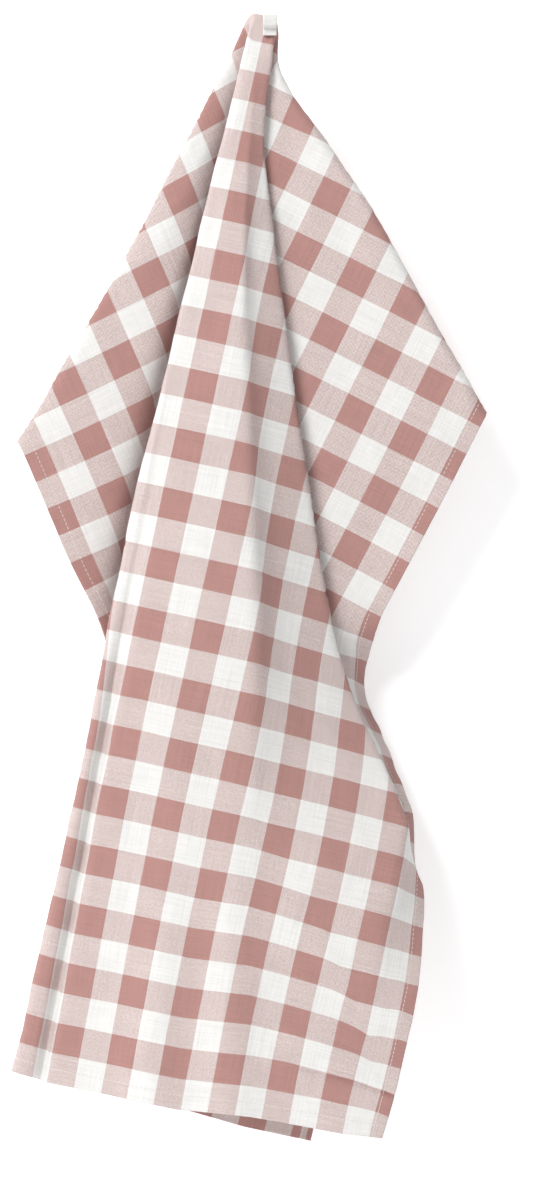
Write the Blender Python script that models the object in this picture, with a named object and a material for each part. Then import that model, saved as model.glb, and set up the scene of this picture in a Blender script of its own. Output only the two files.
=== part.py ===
"""A tea towel of gingham cotton hanging from one point, with a tape loop at its top hem. Metres, +Z up, front -Y.

Each point of the flat cloth keeps its distance r from the hanging point. At each r the cloth is a strip that
folds to and fro: its heading says which way it runs, 0 to the right, 90 towards the front, 180 to the left.
"""

import math

import bmesh
import bpy
import numpy as np
from mathutils import Vector
from mathutils.bvhtree import BVHTree

# The flat cloth: the hanging point is on the top hem, LEFT from one side hem and RIGHT from the other.
LEFT = 0.262
RIGHT = 0.244
LENGTH = 0.700
THICKNESS = 0.0012

# The hanging loop: tape doubled over, both ends sewn at the hem.
TAPE_WIDTH = 0.0092
TAPE_THICKNESS = 0.0010
LOOP_X = 0.0051
LOOP_TOP = 0.0
LOOP_DROP = 0.0136
EYE = 0.0056
SEWN = 0.0042
GAP = 0.0004

# A row for each distance r (mm) from the hanging point. The six folds stand at these angles of the flat cloth
# (degrees from straight down, right positive). open: how far the layers close. soft: radius of the left ridge
# (mm). roll: heading of the right hem. pleat: heading of the left hidden pleat. turn: heading at the front
# panel's right end. swing: which way the middle of the front panel hangs (degrees). corner: heading of the right
# top corner's edge. crest: where the front panel turns back, and drop: by how much. fall: how the left wing turns
# back beside the front panel. groove: how steep the pressed groove down the front panel's left side is.
COLUMNS = (
    "r", "wing_left", "valley_left", "ridge_left", "ridge_right", "valley_right", "wing_right",
    "open", "soft", "roll", "pleat", "turn", "swing", "corner", "crest", "drop", "fall", "groove",
)
SECTIONS = np.array([
    (6, -80, -68, -50, 70, 78, 86, 0.25, 1.5, 0, 166, -16, -7.4, -150, 4, 0, 0, 0),
    (12, -78, -56, -32, 58, 70, 72, 0.55, 1.5, 0, 166, -16, -7.4, -150, 4, 0, 0, 0),
    (20, -70, -42, -20, 33, 44, 57, 0.74, 2.0, 0, 164, -16, -7.4, -150, 4, -4, 0, 0),
    (30, -65.5, -35, -13.5, 25, 34, 47, 0.88, 3.0, 0, 162, -16, -7.4, -150, 4.5, -8, -4, 0),
    (45, -60.8, -28.8, -9.5, 18, 26, 48.4, 0.96, 4.0, 0, 160, -16, -7.4, -150, 5.5, -18, -18, 0),
    (80, -57.3, -25.41, -6, 14.49, 20.33, 52.35, 1, 4.0, 0, 155, -16, -7.4, -157, 6.5, -26, -32, 0),
    (130, -56.51, -24.15, -4.6, 17.14, 23.11, 55.7, 1, 4.0, 0, 153, -16, -7.4, -162, 7.5, -32, -42, 0),
    (160, -55.36, -23.56, -4, 18.02, 24.09, 56.11, 1, 4.0, 0, 152, -16, -7.4, -162, 8.3, -34, -45, 0),
    (250, -55.27, -22.59, -3, 19.39, 25.48, 56.01, 1, 4.0, 0, 152, -18, -7.4, -161, 10.5, -36, -46, 0),
    (320, -55.3, -22.28, -2.8, 20.26, 26.35, 56.4, 1, 4.5, 0, 153, -20, -7.4, -166, 11.3, -36, -46, 10),
    (380, -55.2, -21.5, -2.3, 20.89, 27.14, 56.4, 1, 5.5, 0, 153, -24, -7.4, -172, 12, -34, -44, 40),
    (404, -55, -21.73, -2.5, 21.21, 27.45, 56.4, 1, 6.0, -6, 156, -28, -7.4, -176, 12, -32, -38, 55),
    (430, -54.8, -21.01, -2.6, 21.95, 26.64, 56.4, 1, 6.0, -52, 160, -30, -7.4, -176, 12, -27, -30, 66),
    (450, -54.8, -20.4, -2.7, 22.28, 26.32, 56.4, 1, 6.0, -58, 164, -30, -7.4, -176, 12, -22, -22, 72),
    (470, -54.8, -19.9, -2.75, 22.91, 25.64, 56.4, 1, 6.0, -62, 166, -30, -7.4, -176, 12, -17, -14, 76),
    (520, -54.8, -19.5, -2.8, 23.87, 24.72, 56.4, 1, 6.0, -62, 170, -20, -7.4, -176, 12, -4, 0, 78),
    (556, -54.8, -19.4, -2.8, 24.83, 25.16, 56.4, 1, 6.0, -60, 170, -16, -7.3, -176, 12, 0, 0, 78),
    (576, -54.8, -19.3, -2.8, 26, 26, 56.4, 1, 6.0, -48, 170, -14, -7.3, -176, 12, 0, 0, 78),
    (640, -54.8, -19.8, -2.75, 26, 26, 56.4, 1, 6.0, -8, 172, -9, -7.2, -176, 12, 0, 0, 76),
    (760, -54.8, -21.6, -2.6, 26, 26, 56.4, 1, 6.0, 0, 172, -5, -7.0, -176, 12, 0, 0, 72),
], float)

# The folds in their order along the cloth, with the radius of each (mm). The left ridge has its own column.
FOLDS = (
    ("wing_left", 3.5), ("valley_left", 3.6), ("ridge_left", None),
    ("ridge_right", 2.2), ("valley_right", 1.8), ("wing_right", 3.5),
)
# The layers between them: heading at the left and at the right end. None comes from the table.
LAYERS = (
    ("corner_left", 172, 160), ("left_wing", -2, -6), ("left_pleat", None, None), ("front", 8, None),
    ("right_pleat", -176, -176), ("right_wing", -4, 4), ("corner_right", -156, None),
)
# Soft waves that grow towards the bottom hem: layer, angle, half width and height (degrees), r where each
# starts and the length over which it grows (mm).
WAVES = (
    ("front", 6.3, 1.3, -15, 450, 200),
    ("front", 10.8, 1.3, -15, 450, 200),
    ("left_pleat", -9.5, 3.0, -26, 560, 130),
)
ROLL_REACH = 0.034
ROLL_BLEND = 0.014
# The groove's place across the cloth and half width; how far before the front panel's edge the left wing falls
# back (degrees), and over which half width.
GROOVE_AT = -0.0068
GROOVE_HALF = 0.0048
FALL_BEFORE = -2.0
FALL_HALF = 0.010
# How much narrower the cloth hangs than flat, by fine ripples: r (mm), share. Then where the cloth is gathered
# up behind the hanging point: angle and share, and by how much: r and distance (mm).
NARROWED = np.array([(0, 0), (400, 0.01), (520, 0.052), (600, 0.066), (760, 0.066)])
GATHERED = np.array([(-90, 1), (-32, 1), (-8, 0), (90, 0)])
GATHER = np.array([(0, 0), (40, 8), (90, 8), (190, 5), (300, 1), (380, 0), (760, 0)])
# Where the cloth is drawn up: angle, share of r, r where it starts and the length over which it grows (mm).
DRAWN_UP = np.array([
    (-62, 0, 200, 250), (-54, 0.020, 200, 250), (-40, 0.012, 200, 250), (-30, 0.010, 250, 250),
    (-21, 0.029, 300, 250), (-17, 0.021, 300, 250), (-9, 0.014, 300, 250), (0, 0, 300, 250),
    (8, 0.003, 500, 150), (12, 0.012, 500, 150), (17, 0.017, 580, 140), (19.2, 0.022, 660, 80),
    (20.5, 0.010, 640, 80), (22, 0, 600, 50), (26, 0, 500, 50), (29, 0.010, 420, 30),
    (35, 0.012, 400, 30), (40, 0, 400, 30),
], float)
# How far the middle of the front panel stands out in front of the hanging point: r, distance (mm).
STANDS_OUT = np.array([(0, 0), (40, 6), (120, 14), (400, 16), (760, 12)], float)

# Rows of the mesh (mm), and where its columns stand inside each fold and layer, as shares.
ROWS = (
    5, 9, 13, 18, 24, 32, 43, 58, 78, 102, 130, 162, 196, 232, 262, 290, 318, 345, 370, 390, 404, 416, 428,
    440, 454, 472, 494, 518, 542, 564, 586, 612, 642, 675, 705, 735, 762,
)
IN_FOLD = (-0.5, -0.3, -0.1, 0.1, 0.3, 0.5)
IN_LAYER = {
    "corner_left": (0.35, 0.7),
    "left_wing": (0.25, 0.5),
    "left_pleat": (0.2, 0.35, 0.5, 0.65, 0.82),
    "right_pleat": (0.5,),
    "right_wing": (0.2, 0.4, 0.6, 0.8),
    "corner_right": (0.35, 0.7),
}
IN_GROOVE = (-2.1, -1.5, -1, -0.5, 0, 0.5, 1, 1.5, 2.1)
IN_CREST = (-1.4, -0.5, 0.5, 1.4)
IN_FALL = (-1.3, -0.6, 0, 0.6, 1.3)
SNAP = 0.0028
FINE = np.linspace(-92, 92, 3681)
MIDDLE = 5.0


def column(name, r):
    """The table's value at r, averaged over a short reach so that it changes softly."""
    reach = min(0.012, 0.2 * r) * np.array((-1, -0.5, 0, 0.5, 1))
    return float(np.mean(np.interp(1000 * (r + reach), SECTIONS[:, 0], SECTIONS[:, COLUMNS.index(name)])))


def ease(x):
    """0 below -0.5, 1 above 0.5, smooth between."""
    x = np.clip(x + 0.5, 0, 1)
    return x * x * (3 - 2 * x)


def fold_width(name, radius, r):
    """The angle of flat cloth that a fold takes up."""
    if radius is None:
        bend = column("soft", r) / 1000
    else:
        bend = radius / 1000 * min(1, r / 0.06)
    return math.degrees(math.pi * max(bend, 0.0012) / r)


def groove_angle(r):
    """The angle at which the groove lies at r."""
    return math.degrees(math.asin(max(-1, GROOVE_AT / r)))


def fall_angle(r):
    """The angle of the left wing's cloth that lies beside the front panel's left edge."""
    return 2 * column("valley_left", r) - column("ridge_left", r) - FALL_BEFORE


def layer_heading(layer, theta, share, r):
    """The heading of one layer along its width, where share runs from 0 to 1."""
    name, left, right = layer
    if name == "left_pleat":
        left = right = column("pleat", r)
    if name == "front":
        right = column("turn", r)
        share = share * share
    if name == "corner_right":
        right = column("corner", r)
    heading = left + (right - left) * share
    if name == "front":
        past = theta - column("crest", r)
        heading = heading + column("drop", r) * ease(past / 2.4) * np.exp(-(np.clip(past, 0, None) / 8) ** 2)
        q = np.radians(theta - groove_angle(r)) * r / GROOVE_HALF
        heading = heading + column("groove", r) * q * np.exp(0.5 - 0.5 * q * q)
    if name == "left_wing":
        q = np.radians(theta - fall_angle(r)) * r / min(FALL_HALF, 0.1 * r)
        heading = heading + column("fall", r) * np.exp(-q * q)
    for where, angle, half, height, start, grows in WAVES:
        if where == name:
            q = (theta - angle) / half
            heading = heading + height * q * np.exp(0.5 - 0.5 * q * q) * np.clip((1000 * r - start) / grows, 0, 1)
    if name in ("front", "right_wing"):
        hem = math.degrees(math.asin(min(1, RIGHT / r)))
        from_hem = np.radians(hem - theta) * r
        near = 1 - ease((from_hem - ROLL_REACH) / ROLL_BLEND)
        heading = heading + (column("roll", r) - heading) * near
    return heading


def headings(theta, r):
    """The heading at each angle of the flat cloth, layer by layer, turned from one to the next at each fold."""
    ends = [-90.0] + [column(name, r) for name, _ in FOLDS] + [90.0]
    layers = []
    for number, layer in enumerate(LAYERS):
        span = max(ends[number + 1] - ends[number], 1e-6)
        share = np.clip((theta - ends[number]) / span, 0, 1)
        layers.append(layer_heading(layer, theta, share, r))
    heading = layers[0] + 0 * theta
    for number, (name, radius) in enumerate(FOLDS):
        done = ease((theta - ends[number + 1]) / fold_width(name, radius, r))
        heading = heading + (layers[number + 1] - layers[number]) * done
    return column("open", r) * heading


def section(r):
    """The strip of cloth at r: how far round (radians) and how far forward each angle of FINE lies."""
    heading = np.radians(headings(FINE, r))
    step = math.radians(FINE[1] - FINE[0]) * r
    across, forward = np.cos(heading), np.sin(heading)
    across = across * (1 - np.interp(1000 * r, NARROWED[:, 0], NARROWED[:, 1]))
    across = np.concatenate([[0], np.cumsum(0.5 * (across[1:] + across[:-1]) * step)])
    forward = np.concatenate([[0], np.cumsum(0.5 * (forward[1:] + forward[:-1]) * step)])
    middle = int(np.argmin(abs(FINE - MIDDLE)))
    stands_out = np.interp(1000 * r, STANDS_OUT[:, 0], STANDS_OUT[:, 1]) / 1000
    swing = math.radians(column("swing", r))
    return swing + (across - across[middle]) / r, forward - forward[middle] + stands_out


def reach(theta, r):
    """How far from the hanging point the cloth of angle theta and distance r hangs."""
    share, start, grows = (np.interp(theta, DRAWN_UP[:, 0], DRAWN_UP[:, i]) for i in (1, 2, 3))
    gathered = np.interp(theta, *GATHERED.T) * np.interp(1000 * r, *GATHER.T) / 1000
    return r * (1 - share * np.clip((1000 * r - start) / grows, 0, 1)) - gathered


def hang(u, v):
    """Where the point of the flat cloth u to the right of the hanging point and v down hangs."""
    r = math.hypot(u, v)
    if r < 1e-6:
        return Vector((0, 0, 0))
    theta = math.degrees(math.atan2(u, v))
    round_, forward = section(r)
    swing = np.interp(theta, FINE, round_)
    far = reach(theta, r)
    return Vector((far * math.sin(swing), -np.interp(theta, FINE, forward), -far * math.cos(swing)))


def between(low, high, count):
    """Evenly spaced values between two, without them."""
    return list(np.linspace(low, high, count + 2)[1:-1])


def mesh_angles(r):
    """The angles of the mesh columns at r: they follow the folds, the groove, the crest and the fall."""
    ends = [-90.0] + [column(name, r) for name, _ in FOLDS] + [90.0]
    angles = [-90.0, 90.0]
    for number, (name, radius) in enumerate(FOLDS):
        width = fold_width(name, radius, r)
        angles += [ends[number + 1] + share * width for share in IN_FOLD]
    for number, (name, _, _) in enumerate(LAYERS):
        angles += [ends[number] + share * (ends[number + 1] - ends[number]) for share in IN_LAYER.get(name, ())]
    lowest = ends[3] + 0.52 * fold_width("ridge_left", None, r)
    half = math.degrees(GROOVE_HALF / max(r, 0.26))
    groove = [max(lowest + 0.12 * i, groove_angle(max(r, 0.26)) + q * half) for i, q in enumerate(IN_GROOVE)]
    crest = [column("crest", r) + q for q in IN_CREST]
    angles += groove + between(groove[-1], crest[0], 4) + crest
    angles += between(crest[-1], ends[4] - 0.5 * fold_width("ridge_right", 2.2, r), 5)
    half = math.degrees(min(FALL_HALF / r, 0.1))
    highest = ends[2] - 0.52 * fold_width("valley_left", 3.6, r)
    angles += [min(highest, fall_angle(r) + q * half) for q in IN_FALL]
    angles = np.clip(sorted(angles), -90, 90)
    apart = math.degrees(0.0004 / r)
    for i in range(1, len(angles)):
        angles[i] = max(angles[i], angles[i - 1] + apart)
    over = max(angles[-1] - 90, 0)
    return np.clip(angles - over * np.linspace(0, 1, len(angles)), -90, 90)


def onto_hems(u, v):
    """A point of the flat cloth, moved onto a hem that it nearly touches."""
    if abs(u + LEFT) < SNAP:
        u = -LEFT
    if abs(u - RIGHT) < SNAP:
        u = RIGHT
    if abs(v - LENGTH) < SNAP:
        v = LENGTH
    return u, max(v, 0)


def flat_cloth():
    """The flat cloth as a mesh whose x and y are u and v."""
    bm = bmesh.new()
    top = bm.verts.new((0, 0, 0))
    rows = []
    for r in ROWS:
        row = []
        for angle in np.radians(mesh_angles(r / 1000)):
            u, v = onto_hems(r / 1000 * math.sin(angle), r / 1000 * math.cos(angle))
            row.append(bm.verts.new((u, v, 0)))
        rows.append(row)
    for a, b in zip(rows[0], rows[0][1:]):
        bm.faces.new((top, a, b))
    for near, far in zip(rows, rows[1:]):
        for i in range(len(near) - 1):
            bm.faces.new((near[i], far[i], far[i + 1], near[i + 1]))
    for place, outward in (((-LEFT, 0, 0), (-1, 0, 0)), ((RIGHT, 0, 0), (1, 0, 0)), ((0, LENGTH, 0), (0, 1, 0))):
        bmesh.ops.bisect_plane(
            bm, geom=bm.verts[:] + bm.edges[:] + bm.faces[:], dist=1e-6,
            plane_co=place, plane_no=outward, clear_outer=True,
        )
    bmesh.ops.remove_doubles(bm, verts=bm.verts[:], dist=0.00025)
    bmesh.ops.triangulate(bm, faces=bm.faces[:], quad_method="BEAUTY", ngon_method="BEAUTY")
    flat = [f for f in bm.faces if f.calc_area() < 1e-9]
    bmesh.ops.delete(bm, geom=flat, context="FACES_ONLY")
    return bm


def thicken(bm):
    """Gives a sheet its thickness: half to each side of it, with a rim along its edge."""
    bm.normal_update()
    back = {v: bm.verts.new(v.co - v.normal * THICKNESS / 2) for v in bm.verts[:]}
    sheet = bm.faces[:]
    rim = [(e, e.link_loops[0]) for e in bm.edges if len(e.link_faces) == 1 and e.link_faces[0] in set(sheet)]
    sides = []
    for _, loop in rim:
        a, b = loop.vert, loop.link_loop_next.vert
        sides.append((b, a, back[a], back[b]))
    for face in sheet:
        bm.faces.new([back[v] for v in reversed(face.verts)])
    for v in back:
        v.co = v.co + v.normal * THICKNESS / 2
    for a, b, c, d in sides:
        bm.faces.new((a, b, c))
        bm.faces.new((a, c, d))


def solid(name, bm, colour, rough):
    bmesh.ops.triangulate(bm, faces=bm.faces[:])
    mesh = bpy.data.meshes.new(name)
    if bm.calc_volume(signed=True) < 0:
        bmesh.ops.reverse_faces(bm, faces=bm.faces[:])
    bm.to_mesh(mesh)
    obj = bpy.data.objects.new(name, mesh)
    bpy.context.scene.collection.objects.link(obj)
    material = bpy.data.materials.new(name)
    material.use_nodes = True
    shader = material.node_tree.nodes["Principled BSDF"]
    shader.inputs["Base Color"].default_value = (*colour, 1)
    shader.inputs["Roughness"].default_value = rough
    mesh.materials.append(material)
    return obj


def make_cloth():
    bm = flat_cloth()
    for v in bm.verts:
        v.co = hang(v.co.x, v.co.y)
    thicken(bm)
    return solid("towel_cloth", bm, (0.72, 0.55, 0.52), 0.9)


def front_of(cloth, z):
    """The frontmost y of the cloth across the tape at height z."""
    tree = BVHTree.FromPolygons([v.co for v in cloth.data.vertices], [p.vertices for p in cloth.data.polygons])
    found = []
    for x in np.linspace(LOOP_X - TAPE_WIDTH / 2 - GAP, LOOP_X + TAPE_WIDTH / 2 + GAP, 9):
        hit = tree.ray_cast(Vector((x, -0.1, z)), Vector((0, 1, 0)))[0]
        if hit is not None:
            found.append(hit.y)
    return min(found) if found else None


def tape_line(cloth):
    """The middle line of the tape in the y z plane: up the back leg, over the top and down the front leg."""
    half = TAPE_THICKNESS / 2
    low = LOOP_TOP - LOOP_DROP
    heights = np.linspace(low, LOOP_TOP - EYE - half, 6)
    fronts = [front_of(cloth, z) for z in heights]
    fronts = [f for f in fronts if f is not None]
    back = min(fronts) - GAP - half
    radius = EYE / 2 + half
    middle = back - radius
    line = [(back, z) for z in np.linspace(low, LOOP_TOP - half - radius, 5)]
    for turn in np.linspace(0, math.pi, 9)[1:-1]:
        line.append((middle + radius * math.cos(turn), LOOP_TOP - half - radius + radius * math.sin(turn)))
    foot = back - TAPE_THICKNESS - GAP
    top = LOOP_TOP - half - radius
    line.append((middle - radius, top))
    line.append((middle - radius, top - 0.0030))
    line.append((foot - 0.0006, low + SEWN + 0.0008))
    line.append((foot, low + SEWN))
    line.append((foot, low))
    return line


def make_loop(cloth):
    """The tape: its middle line given thickness, then width."""
    line = [np.array(p) for p in tape_line(cloth)]
    inner, outer = [], []
    for i, point in enumerate(line):
        along = line[min(i + 1, len(line) - 1)] - line[max(i - 1, 0)]
        along = along / np.linalg.norm(along)
        side = np.array((-along[1], along[0])) * TAPE_THICKNESS / 2
        inner.append(point + side)
        outer.append(point - side)
    outline = inner + outer[::-1]
    bm = bmesh.new()
    left = [bm.verts.new((LOOP_X - TAPE_WIDTH / 2, y, z)) for y, z in outline]
    right = [bm.verts.new((LOOP_X + TAPE_WIDTH / 2, y, z)) for y, z in outline]
    count = len(outline)
    for i in range(count):
        j = (i + 1) % count
        bm.faces.new((left[i], left[j], right[j], right[i]))
    half = len(line)
    for i in range(half - 1):
        a, b, c, d = i, i + 1, count - 2 - i, count - 1 - i
        bm.faces.new((left[a], left[d], left[c], left[b]))
        bm.faces.new((right[a], right[b], right[c], right[d]))
    return solid("hanging_loop", bm, (0.9, 0.89, 0.87), 0.85)


def main():
    for obj in list(bpy.data.objects):
        bpy.data.objects.remove(obj)
    cloth = make_cloth()
    make_loop(cloth)


if __name__ == "__main__":
    main()
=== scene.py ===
"""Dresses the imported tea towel: a fine gingham sheet on its folds, stitched hems, a tape loop, wall and light.

Laid out as an add-on and run as a script. Lengths are in metres, +Z up, the front towards -Y.
"""

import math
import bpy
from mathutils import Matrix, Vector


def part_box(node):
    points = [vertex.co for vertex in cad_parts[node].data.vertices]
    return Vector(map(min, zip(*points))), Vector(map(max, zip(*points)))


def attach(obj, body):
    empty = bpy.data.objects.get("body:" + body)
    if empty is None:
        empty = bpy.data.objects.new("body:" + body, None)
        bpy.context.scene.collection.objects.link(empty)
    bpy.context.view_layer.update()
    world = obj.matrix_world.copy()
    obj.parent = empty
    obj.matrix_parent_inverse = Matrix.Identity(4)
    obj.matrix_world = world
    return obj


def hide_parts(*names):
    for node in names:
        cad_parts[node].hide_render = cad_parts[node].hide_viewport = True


bl_info = {
    "name": "Hanging tea towel",
    "version": (1, 0, 0),
    "blender": (4, 5, 0),
    "location": "3D View > Sidebar > Towel",
    "description": "A gingham tea towel that hangs from one point, with its hems, stitching and tape loop",
    "category": "Object",
}

import bpy
import numpy as np
from bpy.props import FloatProperty, FloatVectorProperty, PointerProperty
from mathutils import Vector

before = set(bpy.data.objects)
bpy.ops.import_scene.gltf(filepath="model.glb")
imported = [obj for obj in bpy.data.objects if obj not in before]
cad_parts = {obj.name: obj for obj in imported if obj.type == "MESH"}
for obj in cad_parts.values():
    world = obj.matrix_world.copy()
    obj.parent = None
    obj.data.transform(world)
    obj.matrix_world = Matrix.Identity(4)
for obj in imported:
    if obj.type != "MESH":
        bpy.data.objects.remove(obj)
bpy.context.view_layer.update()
LOOP_LOW, LOOP_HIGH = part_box("hanging_loop")

# ---------------------------------------------------------------------------------------------------------------
# How the cloth hangs. Each point of the flat cloth keeps its distance r from the hanging point. At each r the
# cloth is a strip that folds to and fro: its heading says which way it runs, 0 to the right, 90 towards the
# front, 180 to the left. A row for each r (mm). The six folds stand at these angles of the flat cloth (degrees
# from straight down, right positive). Then come how far the folds open (0 to 1), how softly the left ridge bends
# (mm), and headings or angles of single forms: the edge's roll, the left pleat, the front panel's right end, the
# swing of the whole strip, the right corner, the crest, the drop past it, the left wing's fall and the groove.
COLUMNS = (
    "r", "wing_left", "valley_left", "ridge_left", "ridge_right", "valley_right", "wing_right",
    "open", "soft", "roll", "pleat", "turn", "swing", "corner", "crest", "drop", "fall", "groove",
)
SECTIONS = np.array([
    (6, -80, -68, -50, 70, 78, 86, 0.25, 1.5, 0, 166, -16, -7.4, -150, 4, 0, 0, 0),
    (12, -78, -56, -32, 58, 70, 72, 0.55, 1.5, 0, 166, -16, -7.4, -150, 4, 0, 0, 0),
    (20, -70, -42, -20, 33, 44, 57, 0.74, 2.0, 0, 164, -16, -7.4, -150, 4, -4, 0, 0),
    (30, -65.5, -35, -13.5, 25, 34, 47, 0.88, 3.0, 0, 162, -16, -7.4, -150, 4.5, -8, -4, 0),
    (45, -60.8, -28.8, -9.5, 18, 26, 48.4, 0.96, 4.0, 0, 160, -16, -7.4, -150, 5.5, -18, -18, 0),
    (80, -57.3, -25.41, -6, 14.59, 20.39, 52.35, 1, 4.0, 0, 155, -16, -7.4, -157, 6.5, -26, -32, 0),
    (130, -56.51, -24.15, -4.6, 17.29, 23.19, 55.7, 1, 4.0, 0, 153, -16, -7.4, -162, 7.5, -32, -42, 0),
    (160, -55.36, -23.56, -4, 18.19, 24.18, 56.11, 1, 4.0, 0, 152, -16, -7.4, -162, 8.3, -34, -45, 0),
    (250, -55.27, -22.59, -3, 19.61, 25.59, 56.01, 1, 4.0, 0, 152, -18, -7.4, -161, 10.5, -36, -46, 0),
    (320, -55.3, -22.28, -2.8, 20.47, 26.46, 56.4, 1, 4.5, 0, 153, -20, -7.4, -166, 11.3, -36, -46, 10),
    (380, -55.2, -21.5, -2.3, 21.08, 27.24, 56.4, 1, 5.5, 0, 153, -24, -7.4, -172, 12, -34, -44, 40),
    (404, -55, -21.73, -2.5, 21.36, 27.53, 56.4, 1, 6.0, -6, 156, -28, -7.4, -176, 12, -32, -38, 55),
    (430, -54.8, -21.01, -2.6, 22.04, 26.69, 56.4, 1, 6.0, -52, 160, -30, -7.4, -176, 12, -27, -30, 66),
    (450, -54.8, -20.4, -2.7, 22.32, 26.34, 56.4, 1, 6.0, -58, 164, -30, -7.4, -176, 12, -22, -22, 72),
    (470, -54.8, -19.9, -2.75, 22.93, 25.65, 56.4, 1, 6.0, -62, 166, -30, -7.4, -176, 12, -17, -14, 76),
    (520, -54.8, -19.5, -2.8, 23.87, 24.72, 56.4, 1, 6.0, -62, 170, -20, -7.4, -176, 12, -4, 0, 78),
    (556, -54.8, -19.4, -2.8, 24.83, 25.16, 56.4, 1, 6.0, -60, 170, -16, -7.3, -176, 12, 0, 0, 78),
    (576, -54.8, -19.3, -2.8, 26, 26, 56.4, 1, 6.0, -48, 170, -14, -7.3, -176, 12, 0, 0, 78),
    (640, -54.8, -19.8, -2.75, 26, 26, 56.4, 1, 6.0, -8, 172, -9, -7.2, -176, 12, 0, 0, 76),
    (760, -54.8, -21.6, -2.6, 26, 26, 56.4, 1, 6.0, 0, 172, -5, -7.0, -176, 12, 0, 0, 72),
], float)
# Each fold's radius in mm (None: the table's "soft").
FOLDS = (
    ("wing_left", 3.5), ("valley_left", 3.6), ("ridge_left", None),
    ("ridge_right", 2.2), ("valley_right", 1.8), ("wing_right", 3.5),
)
# Each layer's heading at its left and right end (None: from the table).
LAYERS = (
    ("corner_left", 172, 160), ("left_wing", -2, -6), ("left_pleat", None, None), ("front", 8, None),
    ("right_pleat", -176, -176), ("right_wing", -4, 4), ("corner_right", -156, None),
)
# Soft waves: the layer, the angle and half width (degrees), the height (degrees of heading), the r where the wave
# starts and the reach over which it grows (mm).
WAVES = (
    ("front", 6.3, 1.3, -15, 450, 200),
    ("front", 10.8, 1.3, -15, 450, 200),
    ("left_pleat", -9.5, 3.0, -26, 560, 130),
)
# The slope past the crest: a wide part and a steep part right beside it, each a share of the drop and a half width
# in degrees, and the angle over which the drop sets in.
DROP_WIDE = (0.62, 8.0)
DROP_STEEP = (0.95, 3.2)
DROP_SETS_IN = 1.6
# The rolled right edge, the groove beside the panel's left edge and the left wing's fall (m, and degrees).
ROLL_REACH = 0.034
ROLL_BLEND = 0.014
GROOVE_AT = -0.0068
GROOVE_HALF = 0.0048
FALL_BEFORE = -2.0
FALL_HALF = 0.010
# Cloth taken up by ripples finer than the mesh: across the strip (r in mm, share), at the tip (a share for each
# angle, times mm for each r), and along the cloth (angle, share, the r where it starts and its reach in mm).
NARROWED = np.array([(0, 0), (400, 0.01), (520, 0.052), (600, 0.066), (760, 0.066)])
GATHERED = np.array([(-90, 1), (-32, 1), (-8, 0), (90, 0)])
GATHER = np.array([(0, 0), (40, 8), (90, 8), (190, 5), (300, 1), (380, 0), (760, 0)])
DRAWN_UP = np.array([
    (-62, 0, 200, 250), (-54, 0.020, 200, 250), (-40, 0.012, 200, 250), (-30, 0.010, 250, 250),
    (-21, 0.029, 300, 250), (-17, 0.021, 300, 250), (-9, 0.014, 300, 250), (0, 0, 300, 250),
    (8, 0.003, 500, 150), (12, 0.012, 500, 150), (17, 0.017, 580, 140), (19.2, 0.022, 660, 80),
    (20.5, 0.010, 640, 80), (22, 0, 600, 50), (26, 0, 500, 50), (29, 0.010, 420, 30),
    (35, 0.012, 400, 30), (40, 0, 400, 30),
], float)
# How far the middle of the panel stands out (mm) for each r (mm).
STANDS_OUT = np.array([(0, 0), (40, 6), (120, 14), (400, 16), (760, 12)], float)
# The angles and distances at which the strips are worked out, and the angle that stays in place.
FINE = np.linspace(-92, 92, 3681)
MIDDLE = 5.0
RINGS = np.linspace(0.002, 0.762, 381)

# Pressed creases: along which cloth direction ("u" runs down the cloth, "v" across it), where it lies, from and
# to where along it, its height (a ridge is positive) and its half width.
CREASES = (
    ("u", -0.0090, 0.240, 0.700, 0.0008, 0.0022),
    ("v", 0.3500, -0.020, 0.120, -0.0008, 0.0020),
    ("v", 0.6640, 0.180, 0.244, -0.0022, 0.0017),
)


def column(name, r):
    """The table's value at r, averaged over a short reach so that it changes softly."""
    nearby = min(0.012, 0.2 * r) * np.array((-1, -0.5, 0, 0.5, 1))
    return float(np.mean(np.interp(1000 * (r + nearby), SECTIONS[:, 0], SECTIONS[:, COLUMNS.index(name)])))


def ease(x):
    """0 below -0.5, 1 above 0.5, smooth between."""
    x = np.clip(x + 0.5, 0, 1)
    return x * x * (3 - 2 * x)


def fold_width(radius, r):
    """The angle of flat cloth that a fold takes up."""
    bend = column("soft", r) / 1000 if radius is None else radius / 1000 * min(1, r / 0.06)
    return math.degrees(math.pi * max(bend, 0.0012) / r)


def groove_angle(r):
    """The angle at which the groove lies at r."""
    return math.degrees(math.asin(max(-1, GROOVE_AT / r)))


def fall_angle(r):
    """The angle of the left wing's cloth that lies beside the front panel's left edge."""
    return 2 * column("valley_left", r) - column("ridge_left", r) - FALL_BEFORE


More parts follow.
